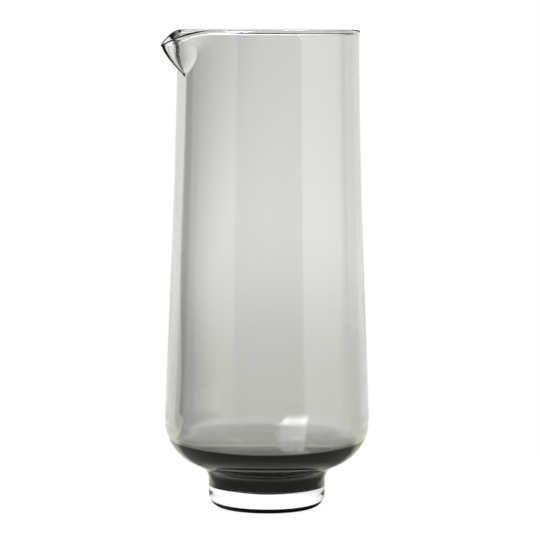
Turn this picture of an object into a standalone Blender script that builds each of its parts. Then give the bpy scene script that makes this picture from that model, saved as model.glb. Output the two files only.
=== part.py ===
"""Carafe of smoked glass with a pulled pouring lip, standing on a clear cast foot.

Three gathers of glass are stacked on one axis: the foot, the collar and the bowl.
Units are metres and +Z is up. The origin is the centre of the foot's flat base,
and the pouring lip points along -X.
"""

import math

import bpy
import numpy as np

MM = 0.001

# Overall sizes, on the outside of the glass
HEIGHT = 237.0 * MM
RIM_RADIUS = 44.8 * MM
BELLY_RADIUS = 50.8 * MM

# Foot: a clear cast disc whose lower edge is broadly rounded
FOOT_RADIUS = 29.0 * MM
FOOT_HEIGHT = 11.4 * MM
BASE_RADIUS = 18.6 * MM
FOOT_EDGE_HEIGHT = 9.6 * MM
FOOT_EDGE_SQUARENESS = 0.75

# Collar: a solid disc of smoked glass, straight below and filleted into the bowl above
COLLAR_HEIGHT = 6.1 * MM
COLLAR_STRAIGHT = 2.9 * MM
NECK_FILLET = 7.0 * MM

# The dark glass sags into the clear foot as a flat cone with a rounded tip
SEAM_SAG = 3.6 * MM
SEAM_TIP = 0.03

# Bowl: a sloping underside, a round bend and a long wall that draws in to the rim
UNDERSIDE_SLOPE = math.radians(24.9)
BEND_RADIUS = 23.7 * MM
WALL_CURVE_LOW = 1.16
WALL_CURVE_HIGH = 1.73
WALL_AT_RIM = 1.7 * MM
WALL_AT_BELLY = 3.3 * MM
WALL_CHANGE_HEIGHT = 100.0 * MM
WALL_CHANGE_REACH = 14.0 * MM
FLOOR_THICKNESS = 6.6 * MM
DISH_SQUARENESS = 0.75
BEAD_RADIUS = 1.55 * MM
BEAD_FILLET = 1.5 * MM

# Pouring lip: a pinched beak that leans out of the wall and dips below the rim
LIP_REACH = 11.3 * MM
LIP_DROP = 5.7 * MM
LIP_DEPTH = 21.9 * MM
LIP_RIDGE_CURVE = 1.3
LIP_TIP_ROUND = math.radians(3.6)
LIP_HALF_ANGLE = math.radians(40.0)
LIP_FLARE = 3.2
LIP_FLARE_DEPTH = 0.55
LIP_DIP_FLARE = 2.4
LIP_LEAF_ANGLE = math.radians(13.3)
LIP_LEAF_DEPTH = 0.53
LIP_LEAF_TOP = 0.55
LIP_LEAF_CLOSING = 1.5

# Gap between gathers that are fused on the real carafe
SEAM_GAP = 0.3 * MM

# Facets
BOWL_STEPS = 84
FOOT_STEPS = 64
LIP_ROWS = 10
WALL_ROWS = 10
BEAD_ROWS = 6
BEAD_FILLET_ROWS = 3
BEND_ROWS = 9
DISH_ROWS = 11
FILLET_ROWS = 4
FOOT_EDGE_ROWS = 8
SEAM_ROWS = 6
LIP_CROWDING = 0.6
SMOOTH_ANGLE = math.radians(35.0)
MERGE_DISTANCE = 0.00001

# Glass seen against white: linear colour of each gather
SMOKE = (0.46, 0.47, 0.44)
DARK_SMOKE = (0.05, 0.05, 0.05)
CLEAR = (0.93, 0.94, 0.94)
GLASS_ROUGHNESS = 0.02
GLASS_IOR = 1.52

# Heights that follow from the stack of gathers
JOINT_HEIGHT = FOOT_HEIGHT + COLLAR_HEIGHT
FILLET_HEIGHT = FOOT_HEIGHT + COLLAR_STRAIGHT
FLOOR_HEIGHT = JOINT_HEIGHT + FLOOR_THICKNESS

# The underside runs straight between the fillet and the bend, which shrinks if room is short
SLOPE_ROOM = 1.0 - math.sin(UNDERSIDE_SLOPE)
BEND = min(BEND_RADIUS, (BELLY_RADIUS - FOOT_RADIUS) / SLOPE_ROOM - NECK_FILLET)
FILLET_END_RADIUS = FOOT_RADIUS + NECK_FILLET * SLOPE_ROOM
FILLET_END_HEIGHT = FILLET_HEIGHT + NECK_FILLET * math.cos(UNDERSIDE_SLOPE)
BEND_START_RADIUS = BELLY_RADIUS - BEND * SLOPE_ROOM
UNDERSIDE_RISE = (BEND_START_RADIUS - FILLET_END_RADIUS) * math.tan(UNDERSIDE_SLOPE)
BELLY_HEIGHT = FILLET_END_HEIGHT + UNDERSIDE_RISE + BEND * math.cos(UNDERSIDE_SLOPE)


def arc(radius, height, size, start, end, rows):
    """Points of a round stretch about (radius, height), from one angle to another."""
    angles = np.linspace(start, end, rows)
    return [(radius + size * math.cos(a), height + size * math.sin(a)) for a in angles]


def rounded_corner(inner, outer, low, high, squareness, rows):
    """Quarter of a squared ellipse, from (outer, high) down and in to (inner, low)."""
    angles = np.linspace(0.0, math.pi / 2, rows)
    across = np.abs(np.cos(angles)) ** squareness
    down = np.abs(np.sin(angles)) ** squareness
    return list(zip(inner + (outer - inner) * across, high - (high - low) * down))


def neck_radius(height):
    """Outside of the neck: straight above the foot, then the concave fillet."""
    rise = min(max(height - FILLET_HEIGHT, 0.0), NECK_FILLET)
    return FOOT_RADIUS + NECK_FILLET - math.sqrt(NECK_FILLET ** 2 - rise ** 2)


def neck(low, high):
    """Points down the outside of the neck between two heights."""
    return [(neck_radius(z), z) for z in np.linspace(high, low, FILLET_ROWS)]


def wall_radius(height):
    """Outside of the wall: upright at the belly, drawing in to an almost upright rim."""
    share = min(max((height - BELLY_HEIGHT) / (HEIGHT - BELLY_HEIGHT), 0.0), 1.0)
    drawn_in = 1.0 - (1.0 - share ** WALL_CURVE_LOW) ** WALL_CURVE_HIGH
    return BELLY_RADIUS + (RIM_RADIUS - BELLY_RADIUS) * drawn_in


def wall_thickness(height):
    """Glass thickness of the wall, thin above and heavy below, changing over along an S-curve."""
    change = 1.0 / (1.0 + math.exp((height - WALL_CHANGE_HEIGHT) / WALL_CHANGE_REACH))
    return WALL_AT_RIM + (WALL_AT_BELLY - WALL_AT_RIM) * change


def wall_levels(top):
    """Heights of the wall's rows from the bead to the belly, closer together in the lip."""
    lip_foot = HEIGHT - LIP_DEPTH
    lip_levels = np.linspace(top, lip_foot, LIP_ROWS + 1)
    levels = np.linspace(lip_foot, BELLY_HEIGHT, WALL_ROWS + 1)
    return np.concatenate([lip_levels[:-1], levels])


def rim(side):
    """Half of the beaded rim from its crest to the wall, outside for side 1 and inside for -1.

    The bead is a circle wider than the wall, and a concave fillet that touches both leads from
    it to the wall's face.
    """
    half_wall = WALL_AT_RIM / 2
    away = half_wall + BEAD_FILLET
    below = math.sqrt((BEAD_RADIUS + BEAD_FILLET) ** 2 - away ** 2)
    touch = -math.atan2(below, away)
    crown = arc(0.0, 0.0, BEAD_RADIUS, math.pi / 2, touch, BEAD_ROWS)
    hollow = arc(away, -below, BEAD_FILLET, math.pi + touch, math.pi, BEAD_FILLET_ROWS)
    middle = RIM_RADIUS - half_wall
    bead_height = HEIGHT - BEAD_RADIUS
    return [(middle + side * across, bead_height + up) for across, up in crown + hollow[1:]]


def bowl_profile():
    """Section of the bowl, up the inside, over the bead and down the outside."""
    inner_rim = rim(-1)
    outer_rim = rim(1)
    levels = wall_levels(outer_rim[-1][1])[1:]
    inside = [(wall_radius(z) - wall_thickness(z), z) for z in levels]
    dish = rounded_corner(0.0, inside[-1][0], FLOOR_HEIGHT, BELLY_HEIGHT, DISH_SQUARENESS, DISH_ROWS)
    outside = [(wall_radius(z), z) for z in levels]
    bend = arc(BELLY_RADIUS - BEND, BELLY_HEIGHT, BEND,
               0.0, UNDERSIDE_SLOPE - math.pi / 2, BEND_ROWS)
    seat = JOINT_HEIGHT + SEAM_GAP / 2
    underside = neck(seat, FILLET_END_HEIGHT)
    inner = inner_rim + inside + dish[1:]
    outer = outer_rim[1:] + outside + bend[1:] + underside
    return inner[::-1] + outer + [(0.0, seat)]


def seam(offset):
    """Points from the neck's side in to the axis along the sagging seam, moved up by an offset."""
    rows = []
    for share in np.linspace(1.0, 0.0, SEAM_ROWS):
        slope = math.sqrt(1.0 + SEAM_TIP) - math.sqrt(share ** 2 + SEAM_TIP)
        sag = SEAM_SAG * slope / (math.sqrt(1.0 + SEAM_TIP) - math.sqrt(SEAM_TIP))
        rows.append((FOOT_RADIUS * share, FOOT_HEIGHT + offset - sag))
    return rows


def collar_profile():
    """Section of the collar, between the bowl's seat and the foot."""
    top = JOINT_HEIGHT - SEAM_GAP / 2
    side = neck(FILLET_HEIGHT, top) if top > FILLET_HEIGHT else [(FOOT_RADIUS, top)]
    return [(0.0, top)] + side + seam(SEAM_GAP / 2)


def foot_profile():
    """Section of the foot, with its flat base at height zero."""
    top = seam(-SEAM_GAP / 2)
    edge_height = min(FOOT_EDGE_HEIGHT, top[0][1] - SEAM_GAP)
    edge = rounded_corner(BASE_RADIUS, FOOT_RADIUS, 0.0, edge_height,
                          FOOT_EDGE_SQUARENESS, FOOT_EDGE_ROWS)
    return top[::-1] + edge + [(0.0, 0.0)]


def turn(name, profile, steps, collection, parent):
    """Turn a section about Z into a named solid."""
    mesh = bpy.data.meshes.new(name)
    points = [(radius, 0.0, height) for radius, height in profile]
    mesh.from_pydata(points, [(i, i + 1) for i in range(len(points) - 1)], [])
    piece = bpy.data.objects.new(name, mesh)
    collection.objects.link(piece)
    piece.parent = parent
    screw = piece.modifiers.new("Turn", "SCREW")
    screw.axis = "Z"
    screw.angle = 2 * math.pi
    screw.steps = steps
    screw.render_steps = steps
    screw.use_merge_vertices = True
    screw.merge_threshold = MERGE_DISTANCE
    return piece


def make_mesh(piece):
    """Swap the piece's live modifiers for the mesh that they give."""
    bpy.context.view_layer.update()
    shaped = piece.evaluated_get(bpy.context.evaluated_depsgraph_get())
    mesh = bpy.data.meshes.new_from_object(shaped)
    mesh.name = piece.name
    piece.modifiers.clear()
    piece.data = mesh


def pull_lip(mesh):
    """Pull the wall out into the pouring lip.

    The ridge at -X falls from the full reach at the rim to nothing at the lip's depth, along a
    slightly bowed line. Two pushes share the reach. The flare at the rim falls off as a power of
    the angle from -X, which gives a beak with hollow flanks, and dies out downwards. The rest is
    a leaf with flat flanks, each a straight line in plan from the ridge to the leaf's edge, that
    widens below the rim and closes on the ridge's end. The rim dips as a power of the angle.
    Columns are first crowded towards the lip, so that its narrow ridge keeps its form.
    """
    points = np.empty(len(mesh.vertices) * 3)
    mesh.vertices.foreach_get("co", points)
    x, y, z = points.reshape(-1, 3).T
    radius = np.hypot(x, y)
    angle = np.arctan2(y, -x)
    angle = angle - LIP_CROWDING * np.sin(angle)

    rounded_angle = np.hypot(angle, LIP_TIP_ROUND) - LIP_TIP_ROUND
    nearness = np.clip(1.0 - rounded_angle / LIP_HALF_ANGLE, 0.0, 1.0)
    depth = np.clip((HEIGHT - z) / LIP_DEPTH, 0.0, 1.0)
    ridge = 1.0 - depth ** LIP_RIDGE_CURVE
    flare = np.clip(1.0 - depth / LIP_FLARE_DEPTH, 0.0, 1.0) ** 2

    opening = np.clip(depth / LIP_LEAF_DEPTH, 0.0, 1.0)
    opening = LIP_LEAF_TOP + (1.0 - LIP_LEAF_TOP) * opening ** 2 * (3.0 - 2.0 * opening)
    closing = np.clip((depth - LIP_LEAF_DEPTH) / (1.0 - LIP_LEAF_DEPTH), 0.0, 1.0) ** LIP_LEAF_CLOSING
    leaf_angle = LIP_LEAF_ANGLE * opening * np.clip(1.0 - closing, 0.001, 1.0)
    across = np.clip(rounded_angle, 0.0, leaf_angle)
    wall = np.maximum(radius, MM)
    crest = wall + LIP_REACH * (ridge - flare)
    leaf = np.sin(leaf_angle) / (np.sin(leaf_angle - across) / crest + np.sin(across) / wall) - wall

    radius = radius + LIP_REACH * flare * nearness ** LIP_FLARE + leaf
    z = z - LIP_DROP * (1.0 - depth) * nearness ** LIP_DIP_FLARE

    points = np.stack([-radius * np.cos(angle), radius * np.sin(angle), z], axis=1)
    mesh.vertices.foreach_set("co", points.ravel())
    mesh.update()


def glass(name, colour):
    """Clear polished glass of one colour."""
    material = bpy.data.materials.new(name)
    material.use_nodes = True
    shader = material.node_tree.nodes["Principled BSDF"]
    shader.inputs["Base Color"].default_value = (*colour, 1.0)
    shader.inputs["Roughness"].default_value = GLASS_ROUGHNESS
    shader.inputs["Metallic"].default_value = 0.0
    shader.inputs["IOR"].default_value = GLASS_IOR
    shader.inputs["Transmission Weight"].default_value = 1.0
    material.diffuse_color = (*colour, 1.0)
    return material


def finish(piece, material):
    """Turn the piece's section into its mesh if needed, smooth it and give it its glass."""
    if piece.modifiers:
        make_mesh(piece)
    piece.data.shade_smooth()
    piece.data.set_sharp_from_angle(angle=SMOOTH_ANGLE)
    piece.data.materials.append(material)


def build():
    """Build the foot, the collar and the bowl on one empty."""
    for old in list(bpy.data.objects):
        bpy.data.objects.remove(old, do_unlink=True)
    collection = bpy.data.collections.new("carafe")
    bpy.context.scene.collection.children.link(collection)
    stand = bpy.data.objects.new("carafe_axis", None)
    collection.objects.link(stand)

    foot = turn("clear_foot", foot_profile(), FOOT_STEPS, collection, stand)
    finish(foot, glass("clear_cast_glass", CLEAR))

    collar = turn("smoked_collar", collar_profile(), FOOT_STEPS, collection, stand)
    finish(collar, glass("dark_smoked_glass", DARK_SMOKE))

    bowl = turn("smoked_bowl", bowl_profile(), BOWL_STEPS, collection, stand)
    make_mesh(bowl)
    pull_lip(bowl.data)
    finish(bowl, glass("smoked_blown_glass", SMOKE))


build()
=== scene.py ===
"""Looks of the smoked-glass carafe: fine meshes of its three gathers, their glass and a white studio.

Shapes are worked out in millimetres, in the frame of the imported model: +Z up, origin at the
centre of the foot's base, pouring lip along -X. Meshes are scaled to metres as they are made.
"""

import logging
import math
from dataclasses import dataclass, field
from enum import Enum

import bpy
import numpy as np
from mathutils import Matrix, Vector
from numpy.typing import NDArray


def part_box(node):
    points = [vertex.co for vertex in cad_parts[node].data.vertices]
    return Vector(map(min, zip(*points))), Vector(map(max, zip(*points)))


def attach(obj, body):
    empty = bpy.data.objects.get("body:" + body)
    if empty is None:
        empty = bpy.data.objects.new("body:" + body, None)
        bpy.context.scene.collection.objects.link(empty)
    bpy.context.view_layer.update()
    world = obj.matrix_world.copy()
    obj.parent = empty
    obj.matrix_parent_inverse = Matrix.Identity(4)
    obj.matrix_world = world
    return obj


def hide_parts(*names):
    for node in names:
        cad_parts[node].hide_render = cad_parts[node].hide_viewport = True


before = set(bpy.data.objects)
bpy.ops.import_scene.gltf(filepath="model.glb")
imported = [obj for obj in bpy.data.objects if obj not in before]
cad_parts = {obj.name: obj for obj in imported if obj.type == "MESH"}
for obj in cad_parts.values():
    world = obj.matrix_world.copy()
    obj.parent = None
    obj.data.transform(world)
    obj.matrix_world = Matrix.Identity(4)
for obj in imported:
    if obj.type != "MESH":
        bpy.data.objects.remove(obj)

LOG = logging.getLogger("carafe")
METRES = 0.001
BODY = "root"
FUSED = "fused"
HAIRLINE = 0.01
WHITE = (1.0, 1.0, 1.0, 1.0)

Array = NDArray[np.float64]
Tree = bpy.types.NodeTree
Socket = bpy.types.NodeSocket
Value = float | Socket
Stops = tuple[tuple[float, float], ...]


class Piece(Enum):
    """The three gathers of glass, each named as its node in the frame."""

    BOWL = "smoked_bowl"
    COLLAR = "smoked_collar"
    FOOT = "clear_foot"


class Facing(Enum):
    """What a stretch of a section borders on."""

    AIR = 0.0
    GLASS = 1.0


def linear(hex_colour: str) -> tuple[float, float, float]:
    """Turn an sRGB hex colour into linear light.

    Args:
        hex_colour: Colour such as "#C8CAC4".

    Returns:
        Linear red, green and blue from 0 to 1.
    """
    raw = np.array([int(hex_colour[i:i + 2], 16) for i in (1, 3, 5)]) / 255.0
    low = raw / 12.92
    high = ((raw + 0.055) / 1.055) ** 2.4
    return tuple(float(value) for value in np.where(raw <= 0.04045, low, high))


def add_node(tree: Tree, kind: str, inputs: dict | None = None, **settings) -> bpy.types.Node:
    """Add a node, set its properties and feed its inputs.

    Args:
        tree: Node tree that takes the node.
        kind: Blender's name of the node type.
        inputs: Input name or number to a plain value, or to an output socket to link.
        settings: Properties of the node itself.

    Returns:
        The new node.
    """
    node = tree.nodes.new(kind)
    for name, value in settings.items():
        setattr(node, name, value)
    for key, value in (inputs or {}).items():
        if isinstance(value, Socket):
            tree.links.new(value, node.inputs[key])
        else:
            node.inputs[key].default_value = value
    return node


def bare_material(name: str) -> bpy.types.Material:
    """Make a material without any nodes."""
    material = bpy.data.materials.new(name)
    material.use_nodes = True
    material.node_tree.nodes.clear()
    return material


def add_object(name: str, data: bpy.types.ID) -> bpy.types.Object:
    """Put a new object into the scene, at the origin."""
    obj = bpy.data.objects.new(name, data)
    bpy.context.scene.collection.objects.link(obj)
    return obj


def calc(tree: Tree, operation: str, *values: Value) -> Socket:
    """Add a maths node over numbers or sockets and give its result."""
    return add_node(tree, "ShaderNodeMath", dict(enumerate(values)), operation=operation).outputs["Value"]


def along(tree: Tree, vector: Socket, direction: Array) -> Socket:
    """Give how far a vector reaches along a direction."""
    inputs = {0: vector, 1: direction}
    return add_node(tree, "ShaderNodeVectorMath", inputs, operation="DOT_PRODUCT").outputs["Value"]


def mixed(tree: Tree, share: Value, first: Value, second: Value) -> Socket:
    """Blend two numbers, by a share of the second."""
    return add_node(tree, "ShaderNodeMix", {"Factor": share, "A": first, "B": second}).outputs["Result"]


def ranged(tree: Tree, value: Value, start: float, end: float,
           first: float = 0.0, last: float = 1.0, shape: str = "LINEAR") -> Socket:
    """Go from a first to a last level while a value goes from start to end, and hold beyond."""
    inputs = {"Value": value, "From Min": start, "From Max": end, "To Min": first, "To Max": last}
    return add_node(tree, "ShaderNodeMapRange", inputs, interpolation_type=shape).outputs["Result"]


def ramp(tree: Tree, angle: Value, stops: Stops, limit: float) -> Socket:
    """Read brightness off a list of angles and levels.

    Args:
        tree: Node tree that takes the nodes.
        angle: Angle in radians.
        stops: Angles in degrees with their brightness.
        limit: Angle in degrees at the end of the list, which starts at minus as much.

    Returns:
        The brightness.
    """
    share = ranged(tree, angle, math.radians(-limit), math.radians(limit))
    node = add_node(tree, "ShaderNodeValToRGB", {"Fac": share})
    elements = node.color_ramp.elements
    for extra in range(len(stops) - len(elements)):
        elements.new(0.5)
    for element, (stop, level) in zip(elements, stops):
        element.position = (stop + limit) / (2 * limit)
        element.color = (level, level, level, 1.0)
    return node.outputs["Color"]


def ray_kinds(tree: Tree) -> tuple[Socket, Socket]:
    """Tell whether a ray comes straight from the camera, and whether glass has mirrored it."""
    path = add_node(tree, "ShaderNodeLightPath")
    half_a_mirror = 0.5
    mirrored = calc(tree, "GREATER_THAN", path.outputs["Glossy Depth"], half_a_mirror)
    return path.outputs["Is Camera Ray"], mirrored


def arc(centre: tuple[float, float], radius: float, start: float, end: float, rows: int) -> Array:
    """Points (radius, height) at equal angles on a circle about centre.

    Args:
        centre: Centre of the circle, as distance from the axis and height.
        radius: Radius of the circle.
        start: First angle in radians, 0 pointing away from the axis.
        end: Last angle in radians.
        rows: Number of points.

    Returns:
        Array of rows by 2.
    """
    angle = np.linspace(start, end, rows)
    return np.stack([centre[0] + radius * np.cos(angle), centre[1] + radius * np.sin(angle)], axis=1)


def squared_corner(inner: float, outer: float, low: float, high: float, power: float, rows: int) -> Array:
    """Quarter of a squared ellipse from (outer, high) down and in to (inner, low).

    Distances from the corner's centre are cos and sin of the angle, raised to a power under 1.

    Args:
        inner: Radius where the corner ends, flat.
        outer: Radius where the corner starts, upright.
        low: Height of the flat end.
        high: Height of the upright end.
        power: Squareness, 1 for an ellipse and less for a squarer corner.
        rows: Number of points.

    Returns:
        Array of rows by 2.
    """
    angle = np.linspace(0.0, math.pi / 2, rows)
    across = np.abs(np.cos(angle)) ** power
    down = np.abs(np.sin(angle)) ** power
    return np.stack([inner + (outer - inner) * across, high - (high - low) * down], axis=1)


def smooth_step(share: Array) -> Array:
    """Rise from 0 to 1 along 3 t^2 - 2 t^3, level at both ends."""
    held = np.clip(share, 0.0, 1.0)
    return held ** 2 * (3.0 - 2.0 * held)


def disc(radius: float, height: float, rows: int) -> Array:
    """Points from a disc's edge straight in to the axis, all at one height."""
    return np.stack([np.linspace(radius, 0.0, rows), np.full(rows, height)], axis=1)


def even_columns(count: int) -> Array:
    """Column angles about the axis, all alike."""
    return np.linspace(0.0, 2 * math.pi, count, endpoint=False)


def eased(profile: Array, step: float, reach: float) -> Array:
    """Resample a profile at equal steps and let hot glass round off its changes of curve.

    The profile is read at equal steps of its own length, then each point becomes the mean of its
    neighbours under a raised-cosine window. Ends are mirrored through themselves, so they stay.

    Args:
        profile: Points to follow.
        step: Distance between the new points.
        reach: Half width of the window along the profile.

    Returns:
        Array of the new points.
    """
    lengths = np.concatenate([[0.0], np.cumsum(np.hypot(*np.diff(profile, axis=0).T))])
    count = int(round(lengths[-1] / step)) + 1
    places = np.linspace(0.0, lengths[-1], count)
    even = np.stack([np.interp(places, lengths, profile[:, axis]) for axis in (0, 1)], axis=1)
    half = max(1, int(round(reach / step)))
    window = np.hanning(2 * half + 3)[1:-1]
    window = window / window.sum()
    before = 2 * even[0] - even[half:0:-1]
    after = 2 * even[-1] - even[-2:-half - 2:-1]
    padded = np.concatenate([before, even, after])
    return np.stack([np.convolve(padded[:, axis], window, mode="valid") for axis in (0, 1)], axis=1)


def spaced(profile: Array, lengths: Array, turn: float) -> Array:
    """Thin out a fine profile, with points close together where it bends or where it is asked for.

    Each stretch counts as its length over the length wanted there, plus its change of direction
    over the turn wanted. New points stand where the running count passes whole shares of its end.

    Args:
        profile: Fine points to follow.
        lengths: Longest stretch wanted at each point.
        turn: Largest change of direction wanted, in radians.

    Returns:
        Array of the new points, the ends kept.
    """
    steps = np.diff(profile, axis=0)
    heading = np.unwrap(np.arctan2(steps[:, 1], steps[:, 0]))
    bends = np.abs(np.gradient(heading))
    cost = np.hypot(*steps.T) / lengths[:-1] + bends / turn
    count = np.concatenate([[0.0], np.cumsum(cost)])
    places = np.linspace(0.0, count[-1], int(math.ceil(count[-1])) + 1)
    return np.stack([np.interp(places, count, profile[:, axis]) for axis in (0, 1)], axis=1)


def turned(section: Array, facing: Array, columns: Array) -> tuple[Array, list[NDArray], Array]:
    """Turn a section that starts and ends on the axis into a closed mesh.

    A point of the section at radius r and height z becomes a ring r cos(a), r sin(a), z over the
    column angles a. The two end points become single poles.

    Args:
        section: Points (radius, height), the first and the last on the axis.
        facing: For each stretch between two points, what it borders on.
        columns: Angles of the columns, in order.

    Returns:
        Vertices, faces (triangles at the poles and quads between rings) and each face's facing.
    """
    rings = section[1:-1]
    count = len(columns)
    x = rings[:, :1] * np.cos(columns)
    y = rings[:, :1] * np.sin(columns)
    z = np.broadcast_to(rings[:, 1:], x.shape)
    points = np.stack([x, y, z], axis=-1).reshape(-1, 3)
    poles = [[0.0, 0.0, section[0, 1]], [0.0, 0.0, section[-1, 1]]]
    vertices = np.concatenate([points, poles])

    index = np.arange(len(points)).reshape(len(rings), count)
    following = np.roll(index, -1, axis=1)
    quads = np.stack([index[:-1], index[1:], following[1:], following[:-1]], axis=-1).reshape(-1, 4)
    start = np.full(count, len(points))
    first = np.stack([start, index[0], following[0]], axis=-1)
    last = np.stack([index[-1], start + 1, following[-1]], axis=-1)
    marks = np.concatenate([np.repeat(facing[1:-1], count), np.repeat(facing[[0, -1]], count)])
    return vertices, [quads, first, last], marks


def make_piece(piece: Piece, vertices: Array, faces: list[NDArray], marks: Array) -> bpy.types.Object:
    """Put a closed mesh, worked out in millimetres, into the scene as a smooth piece.

    Args:
        piece: Which gather this is.
        vertices: Points in millimetres.
        faces: Arrays of triangles or quads.
        marks: Each face's facing, kept as a face attribute.

    Returns:
        The new object, at the origin.
    """
    sharp_angle = math.radians(40.0)
    name = piece.value + "_glass"
    mesh = bpy.data.meshes.new(name)
    sizes = np.concatenate([np.full(len(part), part.shape[1]) for part in faces])
    corners = np.concatenate([part.ravel() for part in faces])
    mesh.vertices.add(len(vertices))
    mesh.vertices.foreach_set("co", (vertices * METRES).ravel())
    mesh.loops.add(len(corners))
    mesh.loops.foreach_set("vertex_index", corners)
    mesh.polygons.add(len(sizes))
    mesh.polygons.foreach_set("loop_start", np.concatenate([[0], np.cumsum(sizes)[:-1]]))
    mesh.update(calc_edges=True)
    mesh.validate()
    mesh.attributes.new(FUSED, "FLOAT", "FACE").data.foreach_set("value", marks)
    mesh.shade_smooth()
    mesh.set_sharp_from_angle(angle=sharp_angle)
    return add_object(name, mesh)


@dataclass(frozen=True)
class Glass:
    """Polished soda-lime glass, coloured through its depth.

    Attributes:
        name: Name of the material.
        tint: What white light becomes on its way through the stated depth.
        depth: Depth of glass for that tint, in millimetres.
        ior: Refractive index.
        roughness: Roughness of the fire-polished skin.
    """

    name: str
    tint: str
    depth: float
    ior: float = 1.52
    roughness: float = 0.0

    def material(self) -> bpy.types.Material:
        """Make the material: a clear skin round a volume that takes light away with depth.

        Light fades as exp(-k d), so k is -ln(tint) over the depth. The volume takes its density
        times one minus its colour, so the colour is 1 - k / density. Faces that are fused to the
        next gather get a refractive index of 1, because light doesn't bend where glass meets glass.

        Returns:
            The new material.
        """
        material = bare_material(self.name)
        tree = material.node_tree
        fade = -np.log(np.array(linear(self.tint))) / (self.depth * METRES)
        headroom = 1.25
        density = headroom * float(fade.max())
        colour = 1.0 - fade / density

        fused = add_node(tree, "ShaderNodeAttribute", attribute_name=FUSED)
        skin = add_node(tree, "ShaderNodeBsdfPrincipled", {
            "Base Color": WHITE,
            "Roughness": self.roughness,
            "IOR": ranged(tree, fused.outputs["Fac"], 0.0, 1.0, self.ior, 1.0),
            "Transmission Weight": 1.0})
        inside = add_node(tree, "ShaderNodeVolumeAbsorption", {
            "Color": (*colour, 1.0),
            "Density": density})
        add_node(tree, "ShaderNodeOutputMaterial", {
            "Surface": skin.outputs["BSDF"],
            "Volume": inside.outputs["Volume"]})
        return material


# Smoke-grey glass with a breath of green: a pale grey wall that turns black where it is solid
SMOKED_GLASS = Glass("smoked_blown_glass", tint="#B3B5AE", depth=8.0)
# The same glass, gathered thicker and darker: black in the solid collar, right to its edges
DARK_GLASS = Glass("dark_smoked_glass", tint="#7A7B74", depth=8.0)
# Colourless cast glass, faintly blue-green only through a great depth
CLEAR_GLASS = Glass("clear_cast_glass", tint="#F3F5F5", depth=50.0)


@dataclass
class Seam:
    """The fused seam between collar and foot: the dark glass sags into the clear as a shallow dome.

    Its edge wanders a little up and down, as hot glass dropped on hot glass does.

    Attributes:
        height: Height of its edge.
        radius: Radius of its edge.
        dome: How far it sags on the axis.
        tip: How round the tip of the sag is, 0 for a sharp cone.
        waves: Waves round the axis, each with its number, its size and where it starts.
        fade: How far above and below the seam the sag dies out.
    """

    height: float
    radius: float
    dome: float = 3.6
    tip: float = 0.03
    waves: tuple[tuple[int, float, float], ...] = ((2, 0.15, 0.6), (3, 0.12, 2.0), (7, 0.06, 1.0))
    fade: float = 4.0

    def settle(self, points: Array) -> Array:
        """Move points at the seam's height onto the sagging seam.

        A point sinks by a flat cone with a rounded tip, deepest on the axis, and its edge rises
        and falls by a few sine waves round the axis. Both fade out with the distance above or
        below the seam.

        Args:
            points: Vertices in millimetres.

        Returns:
            The moved vertices.
        """
        x, y, z = points.T
        share = np.clip((x ** 2 + y ** 2) / self.radius ** 2, 0.0, 1.0)
        angle = np.arctan2(y, x)
        wander = sum(size * np.sin(times * angle + phase) for times, size, phase in self.waves)
        closeness = np.clip(1.0 - np.abs(z - self.height) / self.fade, 0.0, 1.0)
        slope = math.sqrt(1.0 + self.tip) - np.sqrt(share + self.tip)
        sag = self.dome * slope / (math.sqrt(1.0 + self.tip) - math.sqrt(self.tip))
        sunk = share * wander - sag
        return np.stack([x, y, z + closeness * sunk], axis=1)


@dataclass
class Neck:
    """The drawn-in place between bowl and foot: straight at first, then a concave fillet.

    Attributes:
        foot_radius: Radius of its straight side.
        seam_height: Height of the seam between foot and collar.
        joint_height: Height of the joint between collar and bowl.
        straight: Height of its straight side above the seam.
        fillet: Radius of the fillet.
        slope: Slope of the bowl's underside, in radians.
    """

    foot_radius: float
    seam_height: float
    joint_height: float
    straight: float = 2.9
    fillet: float = 7.0
    slope: float = math.radians(24.9)

    @property
    def fillet_height(self) -> float:
        """Height where the fillet leaves the straight side."""
        return self.seam_height + self.straight

    @property
    def end(self) -> tuple[float, float]:
        """Radius and height where the fillet runs into the bowl's underside."""
        return (self.foot_radius + self.fillet * (1.0 - math.sin(self.slope)),
                self.fillet_height + self.fillet * math.cos(self.slope))

    def radius(self, height: Array) -> Array:
        """Outside radius at each height, straight and then a circle that swings outwards."""
        rise = np.clip(height - self.fillet_height, 0.0, self.fillet)
        return self.foot_radius + self.fillet - np.sqrt(self.fillet ** 2 - rise ** 2)

    def outline(self, low: float, high: float, rows: int) -> Array:
        """Points down the outside from high to low."""
        height = np.linspace(high, low, rows)
        return np.stack([self.radius(height), height], axis=1)


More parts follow.
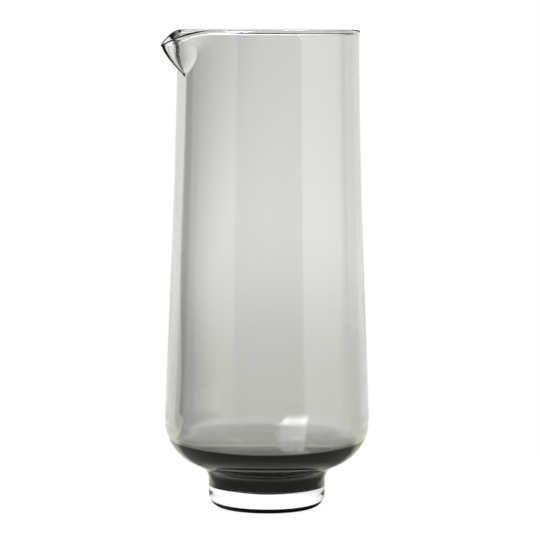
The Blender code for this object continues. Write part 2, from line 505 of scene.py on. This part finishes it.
@dataclass
class Lip:
    """The pinched pouring lip, as a push outwards and down on the wall near -X.

    Attributes:
        reach: How far the tip stands out from the wall.
        drop: How far the rim dips at the tip.
        depth: How far below the rim the ridge ends.
        half_angle: How far round the rim the flare reaches.
        flare: Power by which the flare falls off with the angle.
        flare_down: Share of the depth where the flare has died out.
        leaf_angle: Half width of the leaf where it is widest.
        leaf_power: Power by which the leaf falls off from the ridge to its edge.
        leaf_down: Share of the depth where the leaf is widest.
        leaf_top: Width of the leaf at the rim, as a share of the widest.
        leaf_close: Power by which the leaf closes on the ridge's end.
        tip_round: Angle over which the ridge is rounded.
        dip_flare: Power by which the dip falls off with the angle.
        ridge_curve: Power of the ridge's bow, 1 for a straight ridge.
        crowding: How strongly the columns crowd towards the lip.
    """

    reach: float = 12.0
    drop: float = 6.8
    depth: float = 21.9
    half_angle: float = math.radians(40.0)
    flare: float = 3.2
    flare_down: float = 0.55
    leaf_angle: float = math.radians(13.5)
    leaf_power: float = 1.8
    leaf_down: float = 0.53
    leaf_top: float = 0.55
    leaf_close: float = 1.5
    tip_round: float = math.radians(1.3)
    dip_flare: float = 4.2
    ridge_curve: float = 1.5
    crowding: float = 0.6

    def columns(self, count: int) -> Array:
        """Column angles about the axis, crowded towards the lip by a sine."""
        angle = np.linspace(-math.pi, math.pi, count, endpoint=False)
        return math.pi + angle - self.crowding * np.sin(angle)

    def pull(self, points: Array, rim_height: float) -> Array:
        """Pull points of the turned wall out into the lip.

        The ridge at -X falls from the full reach at the rim to nothing at the lip's depth, along a
        slightly bowed line, and its tip is rounded by a hyperbola of the angle. Two pushes share
        the reach. The flare at the rim falls off as a power of the angle from -X, which gives a
        beak with hollow flanks, and dies out downwards as a square. The rest is a leaf, which
        falls off as a power of the angle from the ridge to the leaf's edge. The leaf widens below
        the rim and closes on the ridge's end. The rim dips as a power of the angle, and what is
        under it is squeezed evenly.

        Args:
            points: Vertices in millimetres.
            rim_height: Height of the rim.

        Returns:
            The moved vertices.
        """
        narrowest = 0.001
        x, y, z = points.T
        radius = np.hypot(x, y)
        angle = np.arctan2(y, -x)
        turn = np.hypot(angle, self.tip_round) - self.tip_round
        down = np.clip((rim_height - z) / self.depth, 0.0, 1.0)
        near = np.clip(1.0 - turn / self.half_angle, 0.0, 1.0)
        ridge = 1.0 - down ** self.ridge_curve
        flared = np.clip(1.0 - down / self.flare_down, 0.0, 1.0) ** 2
        opened = self.leaf_top + (1.0 - self.leaf_top) * smooth_step(down / self.leaf_down)
        closed = np.clip((down - self.leaf_down) / (1.0 - self.leaf_down), 0.0, 1.0) ** self.leaf_close
        spread = self.leaf_angle * opened * np.clip(1.0 - closed, narrowest, 1.0)
        leaf = np.clip(1.0 - turn / spread, 0.0, 1.0) ** self.leaf_power
        radius = radius + self.reach * (flared * near ** self.flare + (ridge - flared) * leaf)
        z = z - self.drop * (1.0 - down) * near ** self.dip_flare
        return np.stack([-radius * np.cos(angle), radius * np.sin(angle), z], axis=1)


@dataclass
class Bowl:
    """The blown bowl of smoked glass, from its seat on the collar to the beaded rim.

    Attributes:
        height: Height of the rim.
        belly_radius: Outside radius at the widest place.
        neck: The neck that the underside runs into.
        lip: The pouring lip.
        rim_radius: Outside radius of the wall at the rim.
        bend: Radius of the bend from the underside to the wall.
        curve_low: Power of the wall's curve at the belly.
        curve_high: Power of the wall's curve at the rim.
        wall_at_rim: Thickness of the upper wall.
        wall_at_belly: Thickness of the lower wall.
        wall_change_height: Height halfway between the two.
        wall_change_reach: How slowly one turns into the other.
        floor_thickness: Glass above the joint with the collar, on the axis.
        dish_top: Height where the inner wall runs into the floor's corner.
        dish_power: Squareness of that corner.
        bead: Radius of the rim's bead.
        bead_fillet: Radius of the fillet under the bead.
        bead_run: Straight run under the fillet.
        crown_rows: Points on the bead.
        hollow_rows: Points on the fillet.
        run_rows: Points on the straight run.
        wall_rows: Fine points on the wall.
        bend_rows: Fine points on the bend.
        under_rows: Fine points on the neck.
        corner_rows: Fine points on the floor's corner.
        ease_step: Step at which the section is read to be eased.
        ease_outside: Reach of the easing outside.
        ease_inside: Reach of the easing inside.
        lip_margin: How far below the lip its close rows go on.
        lip_step: Distance of rows by the lip.
        wall_step: Distance of rows below it.
        bend_step: Turn between rows in the bends, in radians.
        column_count: Columns round the axis.
    """

    height: float
    belly_radius: float
    neck: Neck
    lip: Lip = field(default_factory=Lip)
    rim_radius: float = 44.8
    bend: float = 23.7
    curve_low: float = 1.16
    curve_high: float = 1.73
    wall_at_rim: float = 1.7
    wall_at_belly: float = 3.3
    wall_change_height: float = 100.0
    wall_change_reach: float = 14.0
    floor_thickness: float = 10.3
    dish_top: float = 50.0
    dish_power: float = 0.42
    bead: float = 1.2
    bead_fillet: float = 0.4
    bead_run: float = 0.5
    crown_rows: int = 22
    hollow_rows: int = 7
    run_rows: int = 9
    wall_rows: int = 400
    bend_rows: int = 60
    under_rows: int = 20
    corner_rows: int = 160
    ease_step: float = 0.5
    ease_outside: float = 2.5
    ease_inside: float = 3.0
    lip_margin: float = 2.0
    lip_step: float = 1.1
    wall_step: float = 6.0
    bend_step: float = math.radians(3.0)
    column_count: int = 400

    @property
    def seat(self) -> float:
        """Height of the flat underside that is fused to the collar."""
        return self.neck.joint_height + HAIRLINE

    @property
    def bend_start(self) -> tuple[float, float]:
        """Place where the straight underside runs into the round bend.

        Returns:
            Radius and height.
        """
        end_radius, end_height = self.neck.end
        radius = self.belly_radius - self.bend * (1.0 - math.sin(self.neck.slope))
        return radius, end_height + (radius - end_radius) * math.tan(self.neck.slope)

    @property
    def belly_height(self) -> float:
        """Height of the widest place, where bend and wall meet."""
        return self.bend_start[1] + self.bend * math.cos(self.neck.slope)

    def wall_radius(self, height: Array) -> Array:
        """Outside of the wall: upright at the belly, drawing in to an almost upright rim.

        With t from 0 at the belly to 1 at the rim, the wall has drawn in by 1 - (1 - t^a)^b.

        Args:
            height: Heights to read it at.

        Returns:
            Radius at each height.
        """
        share = np.clip((height - self.belly_height) / (self.height - self.belly_height), 0.0, 1.0)
        drawn_in = 1.0 - (1.0 - share ** self.curve_low) ** self.curve_high
        return self.belly_radius + (self.rim_radius - self.belly_radius) * drawn_in

    def wall_thickness(self, height: Array) -> Array:
        """Glass thickness, thin above and heavy below, changing over along an S-curve."""
        change = 1.0 / (1.0 + np.exp((height - self.wall_change_height) / self.wall_change_reach))
        return self.wall_at_rim + (self.wall_at_belly - self.wall_at_rim) * change

    def rim(self, side: int) -> Array:
        """One half of the beaded rim, from its crest to the wall.

        The bead is a circle a little wider than the wall. A small concave fillet touches both, so
        its centre is its own radius away from the wall, and a bead and a fillet radius away from
        the bead's centre. A short straight run leads on from it.

        Args:
            side: 1 for the outside and -1 for the inside.

        Returns:
            Points from the crest down to the wall.
        """
        half_wall = self.wall_at_rim / 2
        away = half_wall + self.bead_fillet
        below = math.sqrt((self.bead + self.bead_fillet) ** 2 - away ** 2)
        touch = -math.atan2(below, away)
        crown = arc((0.0, 0.0), self.bead, math.pi / 2, touch, self.crown_rows)
        hollow = arc((away, -below), self.bead_fillet, math.pi + touch, math.pi, self.hollow_rows)
        drop = np.linspace(0.0, self.bead_run, self.run_rows)
        run = np.stack([np.full(self.run_rows, half_wall), -below - drop], axis=1)
        half = np.concatenate([crown, hollow[1:], run[1:]])
        radius = self.rim_radius - half_wall + side * half[:, 0]
        return np.stack([radius, self.height - self.bead + half[:, 1]], axis=1)

    def outside(self) -> Array:
        """Follow the outside of the section.

        Returns:
            Points from the crest of the rim down the wall, round the bend to the seat's edge.
        """
        rim = self.rim(1)
        height = np.linspace(rim[-1, 1], self.belly_height, self.wall_rows)[1:]
        wall = np.stack([self.wall_radius(height), height], axis=1)
        centre = (self.belly_radius - self.bend, self.belly_height)
        bend = arc(centre, self.bend, 0.0, self.neck.slope - math.pi / 2, self.bend_rows)
        under = self.neck.outline(self.seat, self.neck.end[1], self.under_rows)
        body = np.concatenate([rim[-1:], wall, bend[1:], under])
        body = eased(body, self.ease_step, self.ease_outside)
        return np.concatenate([rim, self.thinned(body)[1:]])

    def inside(self) -> Array:
        """Follow the inside of the section.

        Returns:
            Points from the crest of the rim down the inner wall and across the dished floor.
        """
        rim = self.rim(-1)
        floor = self.neck.joint_height + self.floor_thickness
        height = np.linspace(rim[-1, 1], self.dish_top, self.wall_rows)[1:]
        wall = np.stack([self.wall_radius(height) - self.wall_thickness(height), height], axis=1)
        corner = squared_corner(0.0, wall[-1, 0], floor, self.dish_top, self.dish_power, self.corner_rows)
        body = eased(np.concatenate([rim[-1:], wall, corner[1:]]), self.ease_step, self.ease_inside)
        return np.concatenate([rim, self.thinned(body)[1:]])

    def thinned(self, body: Array) -> Array:
        """Keep the rows close together at the lip and in the bends only."""
        by_lip = body[:, 1] > self.height - self.lip.depth - self.lip_margin
        return spaced(body, np.where(by_lip, self.lip_step, self.wall_step), self.bend_step)

    def build(self) -> bpy.types.Object:
        """Turn the section, pull the lip and put the bowl into the scene.

        Returns:
            The bowl.
        """
        outside = self.outside()
        section = np.concatenate([self.inside()[::-1], outside[1:], [[0.0, self.seat]]])
        section[0, 0] = 0.0
        facing = np.full(len(section) - 1, Facing.AIR.value)
        facing[-1] = Facing.GLASS.value
        vertices, faces, marks = turned(section, facing, self.lip.columns(self.column_count))
        return make_piece(Piece.BOWL, self.lip.pull(vertices, self.height), faces, marks)

    def dress(self, obj: bpy.types.Object) -> None:
        """Give the bowl its smoked glass."""
        obj.data.materials.append(SMOKED_GLASS.material())


@dataclass
class Collar:
    """The solid disc of smoked glass between the bowl and the foot.

    Attributes:
        neck: The neck that gives its outline.
        seam: The seam to the foot.
        side_rows: Points down its side.
        seam_rows: Points across the seam.
        column_count: Columns round the axis.
    """

    neck: Neck
    seam: Seam
    side_rows: int = 24
    seam_rows: int = 24
    column_count: int = 180

    def build(self) -> bpy.types.Object:
        """Turn the neck's outline between the two fused seams.

        Returns:
            The collar.
        """
        top = self.neck.joint_height - HAIRLINE
        bottom = self.neck.seam_height + HAIRLINE
        side = self.neck.outline(bottom, top, self.side_rows)
        below = disc(self.neck.foot_radius, bottom, self.seam_rows)
        section = np.concatenate([[[0.0, top]], side, below[1:]])
        facing = np.full(len(section) - 1, Facing.AIR.value)
        facing[0] = Facing.GLASS.value
        facing[1 - len(below):] = Facing.GLASS.value
        vertices, faces, marks = turned(section, facing, even_columns(self.column_count))
        return make_piece(Piece.COLLAR, self.seam.settle(vertices), faces, marks)

    def dress(self, obj: bpy.types.Object) -> None:
        """Give the collar its dark smoked glass."""
        obj.data.materials.append(DARK_GLASS.material())


@dataclass
class Foot:
    """The clear cast disc that the carafe stands on.

    Attributes:
        neck: The neck that gives its radius.
        seam: The seam to the collar.
        base_radius: Radius of the flat base.
        edge_height: Height where the rounded lower edge starts.
        edge_power: Squareness of that edge.
        edge_rows: Points on that edge.
        seam_rows: Points across the seam.
        ease_step: Step at which the side is read to be eased.
        ease_reach: How far round each point it is eased.
        column_count: Columns round the axis.
    """

    neck: Neck
    seam: Seam
    base_radius: float = 18.6
    edge_height: float = 9.6
    edge_power: float = 0.75
    edge_rows: int = 160
    seam_rows: int = 24
    ease_step: float = 0.4
    ease_reach: float = 1.0
    column_count: int = 180

    def build(self) -> bpy.types.Object:
        """Turn the foot: a straight side, a broadly rounded lower edge and a flat base.

        Returns:
            The foot.
        """
        top = self.neck.seam_height - HAIRLINE
        edge = squared_corner(self.base_radius, self.neck.foot_radius, 0.0, self.edge_height,
                              self.edge_power, self.edge_rows)
        upright = [[self.neck.foot_radius, top]]
        side = eased(np.concatenate([upright, edge]), self.ease_step, self.ease_reach)
        above = disc(self.neck.foot_radius, top, self.seam_rows)[::-1]
        section = np.concatenate([above, side[1:], [[0.0, 0.0]]])
        facing = np.full(len(section) - 1, Facing.AIR.value)
        facing[:len(above) - 1] = Facing.GLASS.value
        vertices, faces, marks = turned(section, facing, even_columns(self.column_count))
        return make_piece(Piece.FOOT, self.seam.settle(vertices), faces, marks)

    def dress(self, obj: bpy.types.Object) -> None:
        """Give the foot its colourless glass."""
        obj.data.materials.append(CLEAR_GLASS.material())


@dataclass
class Studio:
    """White studio: camera, pale floor, soft boxes round the horizon and overhead, and a key lamp.

    Lengths are in metres and angles in degrees. A bearing is 0 towards the camera and grows to the
    camera's right. On the backdrop it is 0 straight behind the object.

    Attributes:
        azimuth: Where the camera stands about the upright axis, from -Y.
        distance: Distance of the camera from that axis.
        eye_height: Height of the camera.
        tilt: How far the camera looks down.
        pan: How far it looks to the side.
        roll: How far it leans.
        focal_pixels: Focal length in pixels.
        picture_pixels: Width of the picture.
        sensor: Width of the sensor in millimetres.
        key_bearing: Bearing of the key lamp.
        key_elevation: Its elevation.
        key_roll: How far it leans.
        key_distance: Its distance.
        key_size: Its width and height.
        key_tint: Its colour.
        key_power: Its power in watts.
        ring: Brightness of the soft boxes, by bearing.
        ceiling: Brightness of the soft boxes, by elevation.
        top_box: Elevations between which the overhead light sets in.
        top_light: Brightness of the overhead light.
        backdrop: Brightness of the backdrop, by bearing.
        backdrop_lean: How much its edges lean sideways as they rise.
        backdrop_top: Elevations between which its edges fade out.
        backdrop_height: Brightness of the backdrop, by elevation.
        backdrop_edge_lean: How much its bands rise to the side.
        backdrop_light: Brightness of the whole backdrop.
        table_shade: Brightness of the table behind the object, by elevation.
        table_sides: Bearings between which that shade fades out.
        card_distance: Distance of the dark card behind the object.
        card_low: Height of the card's lower edge.
        card_high: Height of its upper edge.
        card_ends: Places of its ends, to the camera's right.
        card_light: Brightness of the card.
        floor_radius: Radius of the floor.
        floor_fade: Shares of the radius between which the floor fades out.
        floor_white: Brightness of the floor's own light.
        floor_paint: Colour of the floor under the lamps.
        floor_glow: Distances from the axis between which its light in mirrors falls off.
        floor_mirrored: That light under the foot and away from it.
        floor_warmth: Colour of that light.
        floor_contact_shadow: Radius, half core and half width of the painted contact shadow, a dark ring
            under the foot's edge.
        floor_behind: Distances behind the axis between which that light grows to full.
        bounces: Bounces of light in all.
        mirror_bounces: Bounces of light off mirrors.
    """

    azimuth: float = -24.0
    distance: float = 1.5352
    eye_height: float = 0.2500
    tilt: float = 4.899
    pan: float = 0.046
    roll: float = 0.2
    focal_pixels: float = 3112.9
    picture_pixels: int = 540
    sensor: float = 36.0
    key_bearing: float = -43.0
    key_elevation: float = 44.0
    key_roll: float = 8.0
    key_distance: float = 1.3
    key_size: tuple[float, float] = (0.7, 1.25)
    key_tint: str = "#F6F3FF"
    key_power: float = 40.0
    ring: Stops = (
        (-180.0, 1.0), (-128.0, 1.0), (-125.0, 0.1), (-112.0, 0.1), (-108.0, 0.8), (-70.0, 0.7),
        (-45.0, 0.45), (-33.0, 0.2), (42.0, 0.2), (44.0, 1.25), (104.0, 1.25), (110.0, 0.7),
        (128.0, 0.8), (140.0, 1.0), (180.0, 1.0))
    ceiling: Stops = (
        (-90.0, 0.15), (-25.0, 0.2), (-14.0, 1.3), (-8.0, 1.3), (-3.0, 1.0), (22.0, 1.0), (38.0, 0.1),
        (90.0, 0.05))
    top_box: tuple[float, float] = (52.0, 60.0)
    top_light: float = 0.9
    backdrop: Stops = (
        (-180.0, 0.9), (-90.0, 0.9), (-60.0, 0.5), (-45.0, 1.0), (-7.9, 1.0), (-7.4, 0.5),
        (-5.0, 0.53), (-3.5, 0.58), (-2.7, 0.63), (-2.0, 0.71), (-1.3, 0.8), (-0.6, 0.9),
        (0.2, 0.98), (1.0, 1.0), (180.0, 1.0))
    backdrop_lean: float = 0.38
    backdrop_top: tuple[float, float] = (-0.5, 2.0)
    backdrop_height: Stops = (
        (-90.0, 1.0), (-4.0, 1.0), (-1.0, 0.9), (1.5, 0.9), (3.5, 1.2), (20.0, 1.2), (25.0, 2.0),
        (45.0, 2.0), (60.0, 0.9), (90.0, 0.9))
    backdrop_edge_lean: float = 0.1
    backdrop_light: float = 1.1
    table_shade: Stops = (
        (-90.0, 1.0), (-32.0, 0.92), (-22.0, 0.75), (-14.0, 0.75), (-11.0, 1.0), (90.0, 1.0))
    table_sides: tuple[float, float] = (20.0, 40.0)
    card_distance: float = 0.8
    card_low: float = 0.26
    card_high: float = 0.52
    card_ends: tuple[float, float] = (-0.04, 0.3)
    card_light: float = 0.01
    floor_radius: float = 0.35
    floor_fade: tuple[float, float] = (0.5, 0.98)
    floor_white: float = 0.94
    floor_paint: tuple[float, float, float, float] = (0.07, 0.07, 0.07, 1.0)
    floor_glow: tuple[float, float] = (0.034, 0.046)
    floor_mirrored: tuple[float, float] = (0.7, 0.24)
    floor_warmth: str = "#FFFFEC"
    # Painted contact shadow: a dark ring on the floor seen in the glass, under the foot's edge
    floor_contact_shadow: tuple[float, float, float] = (0.0265, 0.0035, 0.0065)
    floor_behind: tuple[float, float] = (0.015, 0.05)
    bounces: int = 24
    mirror_bounces: int = 12

    def direction(self, bearing: float, elevation: float = 0.0) -> Array:
        """Find the unit vector from the object towards a bearing and an elevation.

        Args:
            bearing: Bearing in degrees.
            elevation: Elevation in degrees.

        Returns:
            The unit vector.
        """
        turn = math.radians(self.azimuth + bearing)
        rise = math.radians(elevation)
        level = math.cos(rise)
        return np.array([math.sin(turn) * level, -math.cos(turn) * level, math.sin(rise)])

    def camera(self) -> None:
        """Set the camera where the photograph was taken from."""
        data = bpy.data.cameras.new("camera")
        data.sensor_width = self.sensor
        data.lens = self.focal_pixels * self.sensor / self.picture_pixels
        obj = add_object("camera", data)
        place = self.direction(0.0) * self.distance
        place[2] = self.eye_height
        obj.matrix_world = (
            Matrix.Translation(place)
            @ Matrix.Rotation(math.radians(self.azimuth - self.pan), 4, "Z")
            @ Matrix.Rotation(math.radians(90.0 - self.tilt), 4, "X")
            @ Matrix.Rotation(math.radians(self.roll), 4, "Z"))
        bpy.context.scene.camera = obj

    def floor(self) -> None:
        """Lay a pale round floor whose white fades into the background."""
        sides = 96
        angle = even_columns(sides)
        rim = np.stack([np.cos(angle), np.sin(angle), np.zeros(sides)], axis=1) * self.floor_radius
        mesh = bpy.data.meshes.new("floor")
        mesh.from_pydata(rim.tolist(), [], [list(range(sides))])
        mesh.materials.append(self.sweep())
        obj = add_object("floor", mesh)

    def sweep(self) -> bpy.types.Material:
        """Make the white sweep of the floor.

        Most of its white is its own light, so that it matches the background, and the rest is
        lit by the lamps and keeps the object's shadow. Towards its edge it fades out. Glass lets
        rays through to the backdrop without the floor, and mirrors a floor with a light of its own.

        Returns:
            The new material.
        """
        material = bare_material("white_sweep")
        tree = material.node_tree
        place = add_node(tree, "ShaderNodeTexCoord").outputs["Object"]
        away = add_node(tree, "ShaderNodeVectorMath", {0: place}, operation="LENGTH").outputs["Value"]
        start, end = (share * self.floor_radius for share in self.floor_fade)
        cover = ranged(tree, away, start, end, 1.0, 0.0, "SMOOTHSTEP")
        straight, mirrored = ray_kinds(tree)
        level = mixed(tree, mirrored, self.floor_white, self.mirrored_floor(tree, place, away))
        shown = calc(tree, "MULTIPLY", cover, calc(tree, "MAXIMUM", straight, mirrored))
        warm = (*linear(self.floor_warmth), 1.0)
        tone = add_node(tree, "ShaderNodeMix", {"Factor": mirrored, 6: WHITE, 7: warm}, data_type="RGBA")
        paint = add_node(tree, "ShaderNodeBsdfDiffuse", {"Color": self.floor_paint})
        glow = add_node(tree, "ShaderNodeEmission", {"Color": tone.outputs[2], "Strength": level})
        white = add_node(tree, "ShaderNodeAddShader", {
            0: paint.outputs["BSDF"], 1: glow.outputs["Emission"]})
        clear = add_node(tree, "ShaderNodeBsdfTransparent")
        sweep = add_node(tree, "ShaderNodeMixShader", {
            0: shown, 1: clear.outputs["BSDF"], 2: white.outputs["Shader"]})
        add_node(tree, "ShaderNodeOutputMaterial", {"Surface": sweep.outputs["Shader"]})
        return material

    def mirrored_floor(self, tree: Tree, place: Socket, away: Socket) -> Socket:
        """Brightness of the floor in the mirrors of the glass.

        It is lit under the foot, darkened by a painted contact shadow in a ring where the foot's
        edge meets it, and lit again behind the object.

        Args:
            tree: Node tree that takes the nodes.
            place: Place on the floor.
            away: Distance of that place from the axis.

        Returns:
            The brightness.
        """
        ring, core, width = self.floor_contact_shadow
        lit = ranged(tree, away, *self.floor_glow, *self.floor_mirrored)
        # Painted contact shadow: the floor seen in the glass darkens in a ring under the foot's edge
        gap = calc(tree, "ABSOLUTE", calc(tree, "SUBTRACT", away, ring))
        contact_shadow = ranged(tree, gap, core, width)
        behind = ranged(tree, along(tree, place, -self.direction(0.0)), *self.floor_behind)
        return calc(tree, "MAXIMUM", calc(tree, "MULTIPLY", lit, contact_shadow), behind)

    def card(self) -> None:
        """Stand a dark card behind and above the object, hidden from the camera.

        Glass shows it as the thin dark lines of its rim and its lip.
        """
        back = -self.direction(0.0) * self.card_distance
        left, right = (back + self.direction(90.0) * end for end in self.card_ends)
        low, high = (np.array([0.0, 0.0, height]) for height in (self.card_low, self.card_high))
        points = [tuple(point) for point in (left + low, right + low, right + high, left + high)]
        mesh = bpy.data.meshes.new("dark_card")
        mesh.from_pydata(points, [], [(0, 1, 2, 3)])

        # Black paper that the camera itself looks through
        material = bare_material("black_paper")
        tree = material.node_tree
        straight = ray_kinds(tree)[0]
        paper = add_node(tree, "ShaderNodeEmission", {"Color": WHITE, "Strength": self.card_light})
        clear = add_node(tree, "ShaderNodeBsdfTransparent")
        shown = add_node(tree, "ShaderNodeMixShader", {
            0: straight, 1: paper.outputs["Emission"], 2: clear.outputs["BSDF"]})
        add_node(tree, "ShaderNodeOutputMaterial", {"Surface": shown.outputs["Shader"]})
        mesh.materials.append(material)
        obj = add_object("dark_card", mesh)

    def key_lamp(self) -> None:
        """Hang one soft box up on the left, in front of the object."""
        data = bpy.data.lights.new("key_soft_box", "AREA")
        data.shape = "RECTANGLE"
        data.size, data.size_y = self.key_size
        data.energy = self.key_power
        data.color = linear(self.key_tint)
        obj = add_object("key_soft_box", data)
        obj.matrix_world = (
            Matrix.Translation(self.direction(self.key_bearing, self.key_elevation) * self.key_distance)
            @ Matrix.Rotation(math.radians(self.azimuth + self.key_bearing), 4, "Z")
            @ Matrix.Rotation(math.radians(90.0 - self.key_elevation), 4, "X")
            @ Matrix.Rotation(math.radians(self.key_roll), 4, "Z"))

    def world(self) -> None:
        """Light the room for each kind of ray.

        The camera itself sees plain white. Rays that went through glass see the backdrop, and rays
        that glass has mirrored see the ring of soft boxes. Both see at least the overhead light.
        """
        world = bpy.data.worlds.new("studio")
        bpy.context.scene.world = world
        world.use_nodes = True
        tree = world.node_tree
        tree.nodes.clear()
        look = add_node(tree, "ShaderNodeTexCoord").outputs["Generated"]
        right = along(tree, look, self.direction(90.0))
        front = along(tree, look, self.direction(0.0))
        bearing = calc(tree, "ARCTAN2", right, front)
        behind = calc(tree, "ARCTAN2", right, calc(tree, "MULTIPLY", front, -1.0))
        rise = calc(tree, "ARCSINE", along(tree, look, np.array([0.0, 0.0, 1.0])))
        straight, mirrored = ray_kinds(tree)
        ring = ramp(tree, bearing, self.ring, 180.0)
        ceiling = ramp(tree, rise, self.ceiling, 90.0)
        boxes = calc(tree, "MULTIPLY", ring, ceiling)
        shaded = mixed(tree, mirrored, self.paper(tree, behind, rise), boxes)
        overhead = ranged(tree, rise, *np.radians(self.top_box), 0.0, self.top_light)
        seen = mixed(tree, straight, calc(tree, "MAXIMUM", shaded, overhead), 1.0)
        light = add_node(tree, "ShaderNodeBackground", {"Color": WHITE, "Strength": seen})
        add_node(tree, "ShaderNodeOutputWorld", {"Surface": light.outputs["Background"]})

    def paper(self, tree: Tree, behind: Socket, rise: Socket) -> Socket:
        """Brightness of backdrop and table behind the object, as seen through glass.

        Sideways the backdrop has a leaning edge, which fades out above. Upwards it has bands,
        which lean a little too. The table's shade fades out towards the sides.

        Args:
            tree: Node tree that takes the nodes.
            behind: Bearing on the backdrop in radians.
            rise: Elevation in radians.

        Returns:
            The brightness.
        """
        leaning = calc(tree, "MULTIPLY_ADD", rise, -self.backdrop_lean, behind)
        above = ranged(tree, rise, *np.radians(self.backdrop_top))
        across = mixed(tree, above, ramp(tree, leaning, self.backdrop, 180.0), 1.0)
        bands = calc(tree, "MULTIPLY_ADD", behind, self.backdrop_edge_lean, rise)
        upwards = ramp(tree, bands, self.backdrop_height, 90.0)
        aside = ranged(tree, calc(tree, "ABSOLUTE", behind), *np.radians(self.table_sides))
        table = mixed(tree, aside, ramp(tree, rise, self.table_shade, 90.0), 1.0)
        level = calc(tree, "MULTIPLY", calc(tree, "MULTIPLY", across, upwards), table)
        return calc(tree, "MULTIPLY", level, self.backdrop_light)

    def build(self) -> None:
        """Set up the whole studio."""
        scene = bpy.context.scene
        scene.view_settings.view_transform = "Standard"
        scene.cycles.max_bounces = self.bounces
        scene.cycles.transmission_bounces = self.bounces
        scene.cycles.glossy_bounces = self.mirror_bounces
        self.camera()
        self.floor()
        self.card()
        self.key_lamp()
        self.world()


def corners(piece: Piece) -> tuple[Array, Array]:
    """Lowest and highest corner of a node of the frame, in millimetres."""
    low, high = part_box(piece.value)
    return np.array(low) / METRES, np.array(high) / METRES


def main() -> None:
    """Build the pieces round the frame and set up the studio."""
    logging.basicConfig(level=logging.INFO, format="%(name)s: %(message)s")
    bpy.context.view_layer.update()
    frame_gap = 0.3
    bowl_low, bowl_high = corners(Piece.BOWL)
    foot_high = corners(Piece.FOOT)[1]
    neck = Neck(
        foot_radius=float(foot_high[1]),
        seam_height=float(foot_high[2]) + frame_gap / 2,
        joint_height=float(bowl_low[2]) - frame_gap / 2)
    seam = Seam(height=neck.seam_height, radius=neck.foot_radius)
    bowl = Bowl(height=float(bowl_high[2]), belly_radius=float(bowl_high[1]), neck=neck)
    parts = (
        (Piece.BOWL, "smoked_glass", bowl),
        (Piece.COLLAR, "dark_smoked_glass", Collar(neck=neck, seam=seam)),
        (Piece.FOOT, "clear_glass", Foot(neck=neck, seam=seam)))
    for piece, slot, part in parts:
        obj = part.build()
        part.dress(obj)
        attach(obj, BODY)
        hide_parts(piece.value)
        LOG.info("%s: %d faces", obj.name, len(obj.data.polygons))
    Studio().build()


if __name__ == "__main__":
    main()
